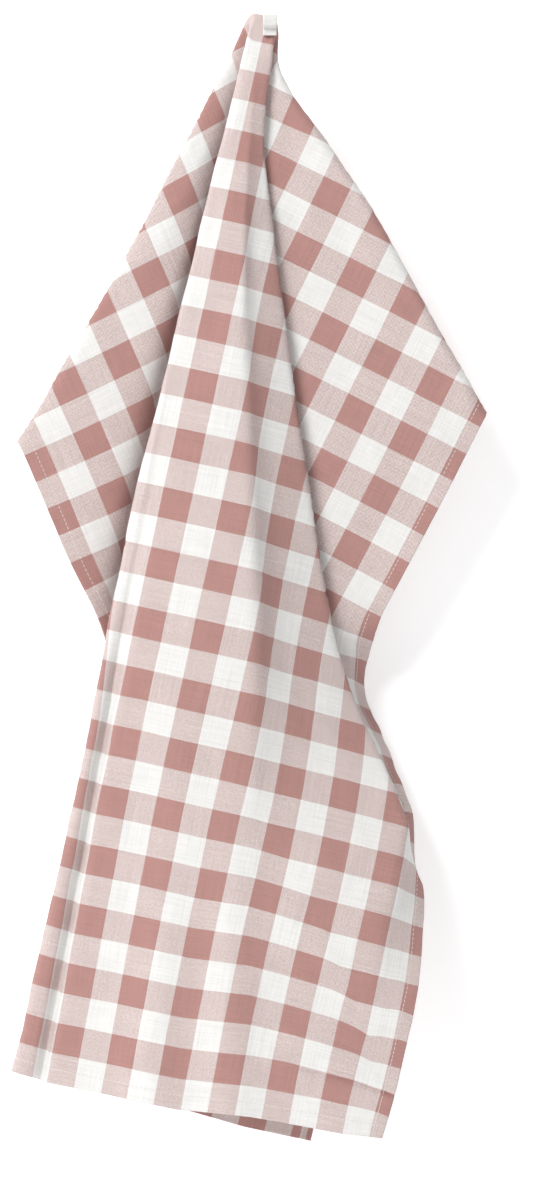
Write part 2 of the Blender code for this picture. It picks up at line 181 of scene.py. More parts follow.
def layer_heading(layer, theta, share, r, right_edge):
    """The heading of one layer along its width, where share runs from 0 to 1."""
    name, left, right = layer
    if name == "left_pleat":
        left = right = column("pleat", r)
    if name == "front":
        right = column("turn", r)
        share = share * share
    if name == "corner_right":
        right = column("corner", r)
    heading = left + (right - left) * share
    if name == "front":
        past = theta - column("crest", r)
        past_crest = np.clip(past, 0, None)
        steep = sum(part * np.exp(-(past_crest / half) ** 2) for part, half in (DROP_WIDE, DROP_STEEP))
        heading = heading + column("drop", r) * ease(past / DROP_SETS_IN) * steep
        q = np.radians(theta - groove_angle(r)) * r / GROOVE_HALF
        heading = heading + column("groove", r) * q * np.exp(0.5 - 0.5 * q * q)
    if name == "left_wing":
        q = np.radians(theta - fall_angle(r)) * r / min(FALL_HALF, 0.1 * r)
        heading = heading + column("fall", r) * np.exp(-q * q)
    for where, angle, half, height, start, grows in WAVES:
        if where == name:
            q = (theta - angle) / half
            heading = heading + height * q * np.exp(0.5 - 0.5 * q * q) * np.clip((1000 * r - start) / grows, 0, 1)
    if name in ("front", "right_wing"):
        hem = math.degrees(math.asin(min(1, right_edge / r)))
        near = 1 - ease((np.radians(hem - theta) * r - ROLL_REACH) / ROLL_BLEND)
        heading = heading + (column("roll", r) - heading) * near
    return heading


def headings(theta, r, right_edge):
    """The heading at each angle of the flat cloth, layer by layer, turned from one to the next at each fold."""
    ends = [-90.0] + [column(name, r) for name, _ in FOLDS] + [90.0]
    layers = []
    for number, layer in enumerate(LAYERS):
        span = max(ends[number + 1] - ends[number], 1e-6)
        layers.append(layer_heading(layer, theta, np.clip((theta - ends[number]) / span, 0, 1), r, right_edge))
    heading = layers[0] + 0 * theta
    for number, (_, radius) in enumerate(FOLDS):
        done = ease((theta - ends[number + 1]) / fold_width(radius, r))
        heading = heading + (layers[number + 1] - layers[number]) * done
    return column("open", r) * heading


def ring(r, right_edge):
    """The strip of cloth at r: how far round (radians) and how far forward each angle of FINE lies."""
    heading = np.radians(headings(FINE, r, right_edge))
    step = math.radians(FINE[1] - FINE[0]) * r
    across, forward = np.cos(heading), np.sin(heading)
    across = across * (1 - np.interp(1000 * r, NARROWED[:, 0], NARROWED[:, 1]))
    across = np.concatenate([[0], np.cumsum(0.5 * (across[1:] + across[:-1]) * step)])
    forward = np.concatenate([[0], np.cumsum(0.5 * (forward[1:] + forward[:-1]) * step)])
    middle = int(np.argmin(abs(FINE - MIDDLE)))
    stands_out = np.interp(1000 * r, STANDS_OUT[:, 0], STANDS_OUT[:, 1]) / 1000
    swing = math.radians(column("swing", r))
    return swing + (across - across[middle]) / r, forward - forward[middle] + stands_out


def reach(theta, r):
    """How far from the hanging point the cloth of angle theta and distance r hangs."""
    share, start, grows = (np.interp(theta, DRAWN_UP[:, 0], DRAWN_UP[:, i]) for i in (1, 2, 3))
    gathered = np.interp(theta, *GATHERED.T) * np.interp(1000 * r, *GATHER.T) / 1000
    return r * (1 - share * np.clip((1000 * r - start) / grows, 0, 1)) - gathered


class Drape:
    """Where each point of the flat cloth hangs: u to the right of the hanging point, v down."""

    def __init__(self, right_edge):
        rings = [ring(r, right_edge) for r in RINGS]
        self.round = np.array([one[0] for one in rings])
        self.forward = np.array([one[1] for one in rings])

    def between(self, field, ring_at, angle_at):
        """The field at fractional ring and angle numbers."""
        i = np.clip(ring_at.astype(int), 0, len(RINGS) - 2)
        j = np.clip(angle_at.astype(int), 0, len(FINE) - 2)
        a, b = ring_at - i, angle_at - j
        near = field[i, j] * (1 - b) + field[i, j + 1] * b
        far = field[i + 1, j] * (1 - b) + field[i + 1, j + 1] * b
        return near * (1 - a) + far * a

    def place(self, u, v):
        """The hanging place of flat points, as an array of x, y and z."""
        r = np.hypot(u, v)
        theta = np.degrees(np.arctan2(u, v))
        inside = np.clip(r / RINGS[0], 0, 1)
        ring_at = np.clip((r - RINGS[0]) / (RINGS[1] - RINGS[0]), 0, len(RINGS) - 1.001)
        angle_at = (theta - FINE[0]) / (FINE[1] - FINE[0])
        swing = self.between(self.round, ring_at, angle_at)
        forward = self.between(self.forward, ring_at, angle_at) * inside
        far = reach(theta, r)
        return np.stack([far * np.sin(swing), -forward, -far * np.cos(swing)], axis=-1)


def soft_noise(x, y, length, seed):
    """Even, wandering values from about -1 to 1: sine waves of about that length in random directions."""
    draw = np.random.default_rng(seed)
    total = 0 * x
    for _ in range(9):
        turn, phase, scale = draw.uniform(0, math.pi), draw.uniform(0, 2 * math.pi), draw.uniform(0.7, 1.5)
        along = x * math.cos(turn) + y * math.sin(turn)
        total = total + np.sin(2 * math.pi * along / (length * scale) + phase)
    return total / 4


# ---------------------------------------------------------------------------------------------------------------
# Sizes and colours that a user would change.
class TowelSizes(bpy.types.PropertyGroup):
    left: FloatProperty(
        name="Left of the hook", description="Hanging point to the left hem", default=0.262, unit="LENGTH")
    right: FloatProperty(
        name="Right of the hook", description="Hanging point to the right hem", default=0.244, unit="LENGTH")
    length: FloatProperty(
        name="Length", description="Top hem to bottom hem", default=0.700, unit="LENGTH")
    cloth: FloatProperty(
        name="Cloth", description="Thickness of the woven cloth", default=0.0006, unit="LENGTH")
    side_hem: FloatProperty(
        name="Side hem", description="Width of the hems at the sides", default=0.0088, unit="LENGTH")
    end_hem: FloatProperty(
        name="End hem", description="Width of the hems at top and bottom", default=0.0105, unit="LENGTH")
    turned: FloatProperty(
        name="Turned cloth", description="How much thicker a hem is at its back", default=0.0008, unit="LENGTH")
    mesh_step: FloatProperty(
        name="Mesh step", description="Distance between the mesh lines of the cloth", default=0.0033, unit="LENGTH")
    check_across: FloatProperty(
        name="Check across", description="Repeat of the checks across the cloth", default=0.0385, unit="LENGTH")
    check_down: FloatProperty(
        name="Check down", description="Repeat of the checks down the cloth", default=0.0390, unit="LENGTH")
    first_column: FloatProperty(
        name="First column", description="Hook to the first rose column", default=0.0036, unit="LENGTH")
    first_row: FloatProperty(
        name="First row", description="Top hem to the end of the first rose row", default=0.0175, unit="LENGTH")
    yarn: FloatProperty(
        name="Yarn", description="Distance from one yarn to the next", default=0.00052, unit="LENGTH")


class StitchSizes(bpy.types.PropertyGroup):
    pitch: FloatProperty(
        name="Pitch", description="From one stitch to the next", default=0.0030, unit="LENGTH")
    length: FloatProperty(
        name="Length", description="Length of one stitch", default=0.0023, unit="LENGTH")
    thread: FloatProperty(
        name="Thread", description="Thickness of the sewing thread", default=0.00042, unit="LENGTH")
    inset: FloatProperty(
        name="Inset", description="From the hem's inner edge to its stitches", default=0.0013, unit="LENGTH")


class TapeSizes(bpy.types.PropertyGroup):
    tape: FloatProperty(
        name="Tape", description="Thickness of the tape", default=0.0009, unit="LENGTH")
    eye: FloatProperty(
        name="Eye", description="Width of the loop's eye", default=0.0056, unit="LENGTH")
    sewn: FloatProperty(
        name="Sewn end", description="Length of the sewn end", default=0.0042, unit="LENGTH")
    yarn: FloatProperty(
        name="Yarn", description="Distance from one tape yarn to the next", default=0.00060, unit="LENGTH")


class TowelColours(bpy.types.PropertyGroup):
    rose: FloatVectorProperty(
        name="Rose yarn", description="Colour of the dusty rose yarn", default=(0.488, 0.262, 0.236),
        subtype="COLOR", size=3, min=0, max=1)
    white: FloatVectorProperty(
        name="White yarn", description="Colour of the white yarn", default=(0.880, 0.868, 0.846),
        subtype="COLOR", size=3, min=0, max=1)
    thread: FloatVectorProperty(
        name="Sewing thread", description="Colour of the hem stitches", default=(0.860, 0.800, 0.775),
        subtype="COLOR", size=3, min=0, max=1)
    tape: FloatVectorProperty(
        name="Tape", description="Colour of the loop's tape", default=(0.880, 0.870, 0.850),
        subtype="COLOR", size=3, min=0, max=1)
    backdrop: FloatVectorProperty(
        name="Backdrop", description="Colour of the wall and floor", default=(0.900, 0.902, 0.905),
        subtype="COLOR", size=3, min=0, max=1)


class StageSizes(bpy.types.PropertyGroup):
    wall: FloatProperty(
        name="Wall", description="How far the wall is behind the hanging point", default=0.0800, unit="LENGTH")
    floor: FloatProperty(
        name="Floor", description="Height of the floor", default=-1.60, unit="LENGTH")
    seen_height: FloatProperty(
        name="Seen height", description="Height that the camera takes in", default=0.7712, unit="LENGTH")
    aim_x: FloatProperty(
        name="Aim across", description="Middle of the picture, to the right of the hook", default=0.0074,
        unit="LENGTH")
    aim_z: FloatProperty(
        name="Aim height", description="Middle of the picture, above the hook", default=-0.3760, unit="LENGTH")
    away: FloatProperty(
        name="Camera distance", description="From the camera to the towel", default=6.0, unit="LENGTH")
    key: FloatProperty(name="Key light", description="Strength of the light from the upper left", default=168.0)
    fill: FloatProperty(name="Soft light", description="Strength of the light from all round", default=0.290)
    glow: FloatProperty(name="Wall glow", description="Light that the wall itself gives", default=0.41)


def settings():
    """The groups of sizes and colours of this scene."""
    scene = bpy.context.scene
    return scene.towel_sizes, scene.stitch_sizes, scene.tape_sizes, scene.towel_colours, scene.stage_sizes


# ---------------------------------------------------------------------------------------------------------------
# Finishes. Strengths of the uneven yarns and of the painted shade between yarns: a share of the colour or of the
# bump.
YARN_SHADE = 0.44
PAINTED_GAP_SHADE = 0.14
WORN_SHADE = 0.10
MIXED_UNEVEN = 1.5
CHECK_WANDER = 0.0009
CLOTH_BUMP = 0.00022


class Shade:
    """A number that varies over a surface. Arithmetic on it adds the Math nodes."""

    def __init__(self, finish, socket):
        self.finish = finish
        self.socket = socket

    def math(self, operation, *others, first=None):
        values = (self, *others) if first is None else (first, self)
        return Shade(self.finish, self.finish.node("ShaderNodeMath", {"operation": operation}, *values).outputs[0])

    def __add__(self, other):
        return self.math("ADD", other)

    def __sub__(self, other):
        return self.math("SUBTRACT", other)

    def __mul__(self, other):
        return self.math("MULTIPLY", other)

    def __truediv__(self, other):
        return self.math("DIVIDE", other)

    def __rsub__(self, other):
        return self.math("SUBTRACT", first=other)

    __radd__ = __add__
    __rmul__ = __mul__

    def part(self):
        """What is left over the whole number below."""
        return self.math("FRACT")

    def above(self, other):
        """1 where this is more than other, else 0."""
        return self.math("GREATER_THAN", other)

    def sine(self):
        return self.math("SINE")

    def size(self):
        """The number without its sign."""
        return self.math("ABSOLUTE")

    def clear(self):
        """Held between 0 and 1."""
        return self.math("MINIMUM", 1.0).math("MAXIMUM", 0.0)


class Finish:
    """A material under construction, with one method that adds a node."""

    def __init__(self, name, rough):
        self.material = bpy.data.materials.new(name)
        self.material.use_nodes = True
        self.tree = self.material.node_tree
        self.shader = self.tree.nodes["Principled BSDF"]
        self.shader.inputs["Roughness"].default_value = rough
        self.shader.inputs["Specular IOR Level"].default_value = 0.25

    def node(self, kind, made=None, *values, **named):
        """Adds a node: its own settings first, then the values or links of its sockets, in order or by name."""
        node = self.tree.nodes.new(kind)
        for key, value in (made or {}).items():
            setattr(node, key, value)
        for key, value in [*enumerate(values), *named.items()]:
            socket = node.inputs[key]
            if isinstance(value, Shade):
                value = value.socket
            if isinstance(value, bpy.types.NodeSocket):
                self.tree.links.new(value, socket)
            else:
                socket.default_value = value
        return node

    def cloth_place(self):
        """The place on the flat cloth, across and down, from the map that the piece carries."""
        parts = self.node("ShaderNodeSeparateXYZ", None, self.node("ShaderNodeUVMap").outputs["UV"])
        return Shade(self, parts.outputs["X"]), Shade(self, parts.outputs["Y"])

    def grain(self, across, down, detail=2.0):
        """Noise, about 0.5, of the place given."""
        place = self.node("ShaderNodeCombineXYZ", None, across, down, 0.0)
        noise = self.node("ShaderNodeTexNoise", None, Vector=place.outputs[0], Scale=1.0, Detail=detail)
        return Shade(self, noise.outputs["Fac"])

    def blend(self, amount, first, second):
        """A colour between two, by amount."""
        mix = self.node("ShaderNodeMix", {"data_type": "RGBA"})
        for place, value in ((0, amount), (6, first), (7, second)):
            value = value.socket if isinstance(value, Shade) else value
            if isinstance(value, bpy.types.NodeSocket):
                self.tree.links.new(value, mix.inputs[place])
            else:
                mix.inputs[place].default_value = value
        return mix.outputs[2]

    def brighter(self, colour, amount):
        """A colour times a number that varies."""
        grey = self.node("ShaderNodeCombineXYZ", None, amount, amount, amount)
        return self.node("ShaderNodeVectorMath", {"operation": "MULTIPLY"}, colour, grey.outputs[0]).outputs[0]

    def done(self, colour, height, relief):
        """Feeds the colour and a bump of that relief in metres."""
        self.tree.links.new(colour, self.shader.inputs["Base Color"])
        bump = self.node("ShaderNodeBump", None, Strength=1.0, Distance=relief, Height=height)
        self.tree.links.new(bump.outputs[0], self.shader.inputs["Normal"])
        return self.material


def opaque(colour):
    """A colour with its fourth number, as a node's socket takes it."""
    return (*colour, 1.0)


def plain_weave(finish, across, down, yarn):
    """How far the lengthwise yarn lies on top, -1 to 1: over one, under one."""
    return (across * (math.pi / yarn)).sine() * (down * (math.pi / yarn)).sine()


def gingham(sizes, colours):
    """Woven checks: rose and white yarns both ways, so that they mix yarn by yarn where they cross."""
    finish = Finish("gingham_cotton", 0.92)
    finish.shader.inputs["Sheen Weight"].default_value = 0.12
    finish.shader.inputs["Sheen Roughness"].default_value = 0.6
    across, down = finish.cloth_place()
    wander = (finish.grain(across * 30, down * 30) - 0.5) * CHECK_WANDER
    rose_column = 1 - ((across + wander - sizes.first_column) / sizes.check_across).part().above(0.5)
    rose_row = ((down + wander - sizes.first_row) / sizes.check_down).part().above(0.5)
    rose, white = opaque(colours.rose), opaque(colours.white)
    on_top = plain_weave(finish, across, down, sizes.yarn)
    uneven = finish.grain(across * 800, down * 800) - 0.5
    lengthwise = (on_top * 1.6 + uneven * MIXED_UNEVEN + 0.5).clear()
    slub_down = finish.grain(across * 900, down * 22)
    slub_across = finish.grain(across * 22, down * 900)
    darkest = 1 - YARN_SHADE / 2
    warp = finish.brighter(finish.blend(rose_column, white, rose), slub_down * YARN_SHADE + darkest)
    weft = finish.brighter(finish.blend(rose_row, white, rose), slub_across * YARN_SHADE + darkest)
    woven = finish.blend(lengthwise, weft, warp)
    worn = finish.grain(across * 60, down * 60, 3.0) * WORN_SHADE + (1 - WORN_SHADE / 2)
    # Painted shade: the cloth is darker between the yarns, where they dip under one another.
    painted_shade_between_yarns = 1 - (1 - on_top.size()) * PAINTED_GAP_SHADE
    height = on_top.size() * 0.5 + (slub_down + slub_across) * 0.9 + finish.grain(across * 160, down * 160) * 2.2
    return finish.done(finish.brighter(woven, worn * painted_shade_between_yarns), height, CLOTH_BUMP)


def sewing_thread(colours):
    """Twisted cotton thread, with painted shade in the grooves of its twist."""
    finish = Finish("sewing_thread", 0.75)
    along, around = finish.cloth_place()
    twist = ((along * 5200 + around * 6.283).sine() + 1) * 0.5
    # Painted shade: the thread's colour is darker in the grooves of its twist.
    colour = finish.blend(twist, opaque([0.82 * c for c in colours.thread]), opaque(colours.thread))
    return finish.done(colour, twist, 0.00008)


def woven_tape(sizes, colours):
    """White cotton tape in a herringbone: diagonal ribs that turn over at the middle."""
    finish = Finish("cotton_tape", 0.88)
    finish.shader.inputs["Sheen Weight"].default_value = 0.1
    across, along = finish.cloth_place()
    rib = ((across.size() + along) * (math.pi / sizes.yarn)).sine()
    yarns = (across * (2 * math.pi / sizes.yarn)).sine()
    soiled = finish.grain(across * 400, along * 400) * 0.12 + 0.92
    # Painted shade: the ribs are darker in their hollows. The soiled tone varies at random.
    painted_rib_shade_and_soil = (rib * 0.05 + 0.95) * soiled
    plain = finish.node("ShaderNodeRGB")
    plain.outputs[0].default_value = opaque(colours.tape)
    return finish.done(finish.brighter(plain.outputs[0], painted_rib_shade_and_soil), rib + yarns * 0.4, 0.00012)


def backdrop(colours, glow):
    """A pale wall that lights itself a little and is clear from behind."""
    finish = Finish("backdrop", 0.9)
    finish.shader.inputs["Base Color"].default_value = opaque(colours.backdrop)
    finish.shader.inputs["Emission Color"].default_value = (1, 1, 1, 1)
    finish.shader.inputs["Emission Strength"].default_value = glow
    clear = finish.node("ShaderNodeBsdfTransparent")
    behind = finish.node("ShaderNodeNewGeometry").outputs["Backfacing"]
    either = finish.node("ShaderNodeMixShader", None, behind, finish.shader.outputs[0], clear.outputs[0])
    finish.tree.links.new(either.outputs[0], finish.tree.nodes["Material Output"].inputs["Surface"])
    return finish.material


# ---------------------------------------------------------------------------------------------------------------
# Pieces. Mesh lines (m): places across a hem as shares of its width, the distance between lines at a crease, how
# far it keeps other lines away, the least distance, and how much closer lines lie round the hook.
HEM_LINES = np.array((0, 0.0006, 0.0024, 0.0048, 0.0068, 0.0078, 0.0086, 0.0094)) / 0.0088
PAST_HEM = 1.08
CREASE_LINE = 0.0009
CREASE_CLEAR = 0.0036
LEAST_LINE = 0.00045
HOOK_CLOSER = 0.42
FINE_ACROSS, FINE_DOWN = 0.030, 0.034


def piece(name, points, faces, material, uv=None, smooth=True):
    """A mesh object in the scene, its map in metres of flat cloth, riding on the towel's one body."""
    mesh = bpy.data.meshes.new(name)
    mesh.from_pydata(points, [], faces)
    mesh.materials.append(material)
    if smooth:
        mesh.polygons.foreach_set("use_smooth", [True] * len(mesh.polygons))
    if uv is not None:
        mesh.uv_layers.new(name="cloth").data.foreach_set("uv", np.asarray(uv, float).ravel())
    obj = bpy.data.objects.new(name, mesh)
    bpy.context.scene.collection.objects.link(obj)
    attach(obj, "root")
    return obj


def mesh_lines(low, high, hem_low, hem_high, step, fine_to, creases):
    """Places of the mesh lines across one direction: close at the hems, creases and hook, even between."""
    lines = list(low + HEM_LINES * hem_low) + list(high - HEM_LINES * hem_high)
    inner_low, inner_high = low + hem_low * PAST_HEM, high - hem_high * PAST_HEM
    fine_from, fine_end = max(-fine_to, inner_low), min(fine_to, inner_high)
    for start, end, gap in (
        (inner_low, fine_from, step), (fine_from, fine_end, step * HOOK_CLOSER), (fine_end, inner_high, step),
    ):
        if end - start > gap:
            lines += list(np.linspace(start, end, max(2, round((end - start) / gap) + 1)))
    for crease in creases:
        lines = [place for place in lines if abs(place - crease) > CREASE_CLEAR]
        lines += list(crease + np.arange(-4, 5) * CREASE_LINE)
    lines = sorted(lines)
    kept = [lines[0]]
    for place in lines[1:]:
        if place - kept[-1] > LEAST_LINE:
            kept.append(place)
    return np.array(kept)


def sheet_normals(points):
    """The side that faces the front, at each point of a grid of points."""
    down = np.gradient(points, axis=0)
    across = np.gradient(points, axis=1)
    normal = np.cross(across, down)
    length = np.linalg.norm(normal, axis=2, keepdims=True)
    return -normal / np.maximum(length, 1e-12)


def hem_depth(u, v, sizes):
    """How far inside the nearest hem's inner edge a point lies: 1 in a hem, 0 in the open cloth."""
    side = np.minimum(u + sizes.left, sizes.right - u) / sizes.side_hem
    end = np.minimum(v, sizes.length - v) / sizes.end_hem
    return 1 - np.clip((np.minimum(side, end) - 0.93) / 0.12, 0, 1)


# Unevenness of the cloth (m): its height, its length, the seed of its waves and the r over which it grows.
UNEVEN = ((0.00045, 0.060, 3, 0.15), (0.00016, 0.018, 5, 0.06))
# Soft rays from the hook: height (m), width (degrees), how fast they change along r, seed, and where they grow (m).
RAYS = (0.00050, 7.0, 60, 8, 0.08)
# Puckered hems (m): their height, then how far in they reach and their length, at the sides and at the ends.
PUCKER = 0.00028
SIDE_PUCKER = (0.012, 0.014, 21)
END_PUCKER = (0.014, 0.015, 22)
# How far stitches sink into the front and the back, how far a hem lifts the front, and the thread stands proud (m).
SUNK_FRONT, SUNK_BACK = 0.00016, 0.00020
HEM_LIFT = 0.00012
THREAD_PROUD, THREAD_SUNK_BACK = 0.00002, 0.00016


def puckered(distance, along, reach_in, length, seed):
    """Waves along a hem that fade with the distance from the cloth's edge."""
    return np.exp(-((distance / reach_in) ** 2)) * soft_noise(along, 0 * along, length, seed)


def relief(u, v, sizes):
    """How far the cloth stands out of its smooth folds: pressed creases, soft unevenness, puckered hems."""
    r = np.hypot(u, v)
    theta = np.degrees(np.arctan2(u, v))
    out = 0 * u
    for height, length, seed, grows in UNEVEN:
        out = out + height * soft_noise(u, v, length, seed) * np.clip(r / grows, 0, 1)
    height, width, change, seed, grows = RAYS
    fading = np.clip(r / grows, 0, 1) * np.clip(1.4 - r / 0.35, 0, 1)
    out = out + height * soft_noise(theta, change * r, width, seed) * fading
    for way, at, start, end, height, half in CREASES:
        across, along = (u, v) if way == "u" else (v, u)
        bend = 0.0012 * soft_noise(along, 0 * along, 0.16, 12)
        ends = ease((along - start) / 0.03) * ease((end + 0.02 - along) / 0.02)
        out = out + height * ends * np.exp(-np.abs((across - at - bend) / half) ** 1.5)
    side = np.minimum(u + sizes.left, sizes.right - u)
    end = np.minimum(v, sizes.length - v)
    pucker = puckered(side, v, *SIDE_PUCKER) + puckered(end, u, *END_PUCKER)
    return out + PUCKER * pucker * np.clip(r / 0.05, 0, 1)


def stitch_groove(u, v, sizes, stitches):
    """1 on the line of stitches, 0 away from it."""
    side = np.minimum(u + sizes.left, sizes.right - u) - (sizes.side_hem - stitches.inset)
    end = np.minimum(v, sizes.length - v) - (sizes.end_hem - stitches.inset)
    return np.maximum(np.exp(-((side / 0.0007) ** 2)), np.exp(-((end / 0.0007) ** 2)))


def cloth_sheet(drape, sizes, stitches, material):
    """The towel: a front and a back face on the folds, thicker at the back where the hems are turned."""
    across = mesh_lines(-sizes.left, sizes.right, sizes.side_hem, sizes.side_hem, sizes.mesh_step, FINE_ACROSS,
                        [at for way, at, *_ in CREASES if way == "u"])
    down = mesh_lines(0, sizes.length, sizes.end_hem, sizes.end_hem, sizes.mesh_step, FINE_DOWN,
                      [at for way, at, *_ in CREASES if way == "v"])
    u, v = np.meshgrid(across, down)
    middle = drape.place(u, v)
    normal = sheet_normals(middle)
    middle = middle + normal * relief(u, v, sizes)[..., None]
    normal = sheet_normals(middle)
    groove = stitch_groove(u, v, sizes, stitches)
    hem = hem_depth(u, v, sizes)
    front = middle + normal * (sizes.cloth / 2 + HEM_LIFT * hem - SUNK_FRONT * groove)[..., None]
    back = middle - normal * (sizes.cloth / 2 + sizes.turned * hem - SUNK_BACK * groove)[..., None]
    rows, columns = u.shape
    number = np.arange(rows * columns).reshape(rows, columns)
    a, b, c, d = number[:-1, :-1], number[1:, :-1], number[1:, 1:], number[:-1, 1:]
    faces_front = np.stack([a, b, c, d], axis=-1).reshape(-1, 4)
    faces_back = faces_front[:, ::-1] + rows * columns
    rim = np.concatenate([number[0, :], number[1:, -1], number[-1, -2::-1], number[-2:0:-1, 0]])
    following = np.roll(rim, -1)
    faces_rim = np.stack([rim, following, following + rows * columns, rim + rows * columns], axis=-1)
    flat = np.stack([u, v], axis=-1).reshape(-1, 2)
    flat = np.concatenate([flat, flat])
    faces = np.concatenate([faces_front, faces_back, faces_rim])
    uv = flat[faces]
    turned = slice(len(faces_front), len(faces_front) + len(faces_back))
    uv[turned] = turned_over(uv[turned], sizes)
    points = np.concatenate([front.reshape(-1, 3), back.reshape(-1, 3)])
    towel = piece("gingham_towel", points.tolist(), faces.tolist(), material, uv)
    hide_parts("towel_cloth")
    return towel


def turned_over(uv, sizes):
    """The map of the back faces: in a hem the cloth has been turned over, so the checks run on past its edge."""
    centre = uv.mean(axis=1)
    uv = uv.copy()
    for axis, edge, inward, width in (
        (0, -sizes.left, 1, sizes.side_hem), (0, sizes.right, -1, sizes.side_hem),
        (1, 0, 1, sizes.end_hem), (1, sizes.length, -1, sizes.end_hem),
    ):
        in_hem = (centre[:, axis] - edge) * inward < width
        uv[in_hem, :, axis] = 2 * edge - uv[in_hem, :, axis]
    return uv


# A stitch as rings: how far along it (of its length), how high and how thick (of the thread).
STITCH_RINGS = (
    (-0.5, -0.35, 0.55), (-0.30, 0.10, 0.95), (0.0, 0.20, 1.0), (0.30, 0.10, 0.95), (0.5, -0.35, 0.55),
)
STITCH_SIDES = 6


def stitch_shape():
    """One stitch, 1 long and 1 thick, along x with z up: a thread that dips into the cloth at both ends."""
    sides = STITCH_SIDES
    points = []
    for x, lift, thick in STITCH_RINGS:
        for side in range(sides):
            turn = 2 * math.pi * side / sides
            points.append((x, 0.5 * thick * math.cos(turn), lift + 0.5 * thick * math.sin(turn)))
    faces = []
    for start in range(0, len(points) - sides, sides):
        for side in range(sides):
            a, b = start + side, start + (side + 1) % sides
            faces.append((a, b, b + sides, a + sides))
    first, last = tuple(range(sides))[::-1], tuple(range(len(points) - sides, len(points)))
    return np.array(points), faces, first, last


def rows_of_stitches(name, places, along, outward, length, thick, material):
    """A row of stitches at each place, lying along and standing outward."""
    shape, sides, first, last = stitch_shape()
    beside = np.cross(outward, along)
    points = (
        places[:, None, :]
        + shape[None, :, 0:1] * length * along[:, None, :]
        + shape[None, :, 1:2] * thick * beside[:, None, :]
        + shape[None, :, 2:3] * thick * outward[:, None, :]
    ).reshape(-1, 3)
    faces, uv = [], []
    for one in range(len(places)):
        base = one * len(shape)
        for face in [*sides, first, last]:
            faces.append(tuple(base + i for i in face))
            uv += [(shape[i, 0] * length, (i % STITCH_SIDES) / STITCH_SIDES) for i in face]
    return piece(name, points.tolist(), faces, material, uv)


def hem_lines(sizes, stitches):
    """The four lines of hem stitches on the flat cloth: the start, the end and the direction of each."""
    left, right = -sizes.left + sizes.side_hem - stitches.inset, sizes.right - sizes.side_hem + stitches.inset
    top, bottom = sizes.end_hem - stitches.inset, sizes.length - sizes.end_hem + stitches.inset
    short = 0.001
    low_u, high_u, low_v, high_v = -sizes.left + short, sizes.right - short, short, sizes.length - short
    return (
        ((left, low_v), (left, high_v)), ((right, low_v), (right, high_v)),
        ((low_u, top), (high_u, top)), ((low_u, bottom), (high_u, bottom)),
    )


def hem_stitching(drape, sizes, stitches, material):
    """The hems' stitches, on the front and on the back of the cloth."""
    u, v, du, dv = [], [], [], []
    for (u0, v0), (u1, v1) in hem_lines(sizes, stitches):
        length = math.hypot(u1 - u0, v1 - v0)
        count = int(length / stitches.pitch)
        at = (np.arange(count) + 0.5) / count
        u.append(u0 + (u1 - u0) * at)
        v.append(v0 + (v1 - v0) * at)
        du.append(np.full(count, (u1 - u0) / length))
        dv.append(np.full(count, (v1 - v0) / length))
    u, v, du, dv = (np.concatenate(one) for one in (u, v, du, dv))
    small = 0.0004
    clear_of_hook = 0.035
    raised = relief(u, v, sizes)
    centre = drape.place(u, v)
    along = drape.place(u + du * small, v + dv * small) - drape.place(u - du * small, v - dv * small)
    beside = drape.place(u - dv * small, v + du * small) - drape.place(u + dv * small, v - du * small)
    normal = np.cross(along, beside)
    normal = -normal / np.linalg.norm(normal, axis=1, keepdims=True)
    along = along / np.linalg.norm(along, axis=1, keepdims=True)
    centre = centre + normal * raised[:, None]
    away = np.hypot(u, v) > clear_of_hook
    front = centre + normal * (sizes.cloth / 2 + THREAD_PROUD)
    back = centre - normal * (sizes.cloth / 2 + sizes.turned - THREAD_SUNK_BACK)
    places = np.concatenate([front[away], back[away]])
    outward = np.concatenate([normal[away], -normal[away]])
    along = np.concatenate([along[away], along[away]])
    thread = rows_of_stitches(
        "hem_stitching", places, along, outward, stitches.length, stitches.thread, material)
    return thread


# The tape (m): steps along it, half the thickness and the margin at the foot of its CAD solid, the straight length
# below its bend, the gap between its sewn ends, and how the front leg leans out just above them.
TAPE_STEPS = 90
CAD_HALF = 0.0005
FOOT_MARGIN = 0.0002
STRAIGHT = 0.0030
SEWN_GAP = 0.0004
LEAN_OUT, LEAN_UP = 0.0006, 0.0008


def tape_line(tape):
    """The tape's middle line in the y z plane: up the back leg, over the top and down the front leg."""
    back = LOOP_HIGH.y - CAD_HALF
    low, top = LOOP_LOW.z + FOOT_MARGIN, LOOP_HIGH.z - CAD_HALF
    radius = tape.eye / 2 + CAD_HALF
    spring = top - radius
    middle = back - radius
    line = [(back, low), (back, low + tape.sewn), (back, spring - STRAIGHT), (back, spring)]
    line += [
        (middle + radius * math.cos(turn), spring + radius * math.sin(turn))
        for turn in np.linspace(0, math.pi, 13)[1:-1]
    ]
    foot = back - 2 * CAD_HALF - SEWN_GAP
    line += [(middle - radius, spring), (middle - radius, spring - STRAIGHT)]
    line += [(foot - LEAN_OUT, low + tape.sewn + LEAN_UP), (foot, low + tape.sewn), (foot, low)]
    line = np.array(line)
    run = np.concatenate([[0], np.cumsum(np.linalg.norm(np.diff(line, axis=0), axis=1))])
    at = np.linspace(0, run[-1], TAPE_STEPS)
    smooth = np.stack([np.interp(at, run, line[:, 0]), np.interp(at, run, line[:, 1])], axis=-1)
    for _ in range(6):
        smooth[1:-1] = 0.25 * smooth[:-2] + 0.5 * smooth[1:-1] + 0.25 * smooth[2:]
    return smooth, at


# The tape's section (m): its margin to the CAD width, how thin its woven edges are and their share of the width,
# how far it cups, and how it waves along its length.
TAPE_MARGIN = 0.0004
EDGE_THIN, EDGE_SHARE = 0.55, 0.06
CUP = 0.00015
TAPE_WAVE, TAPE_WAVE_LENGTH = 0.00010, 0.0041
SIDE_WANDER = 0.00012


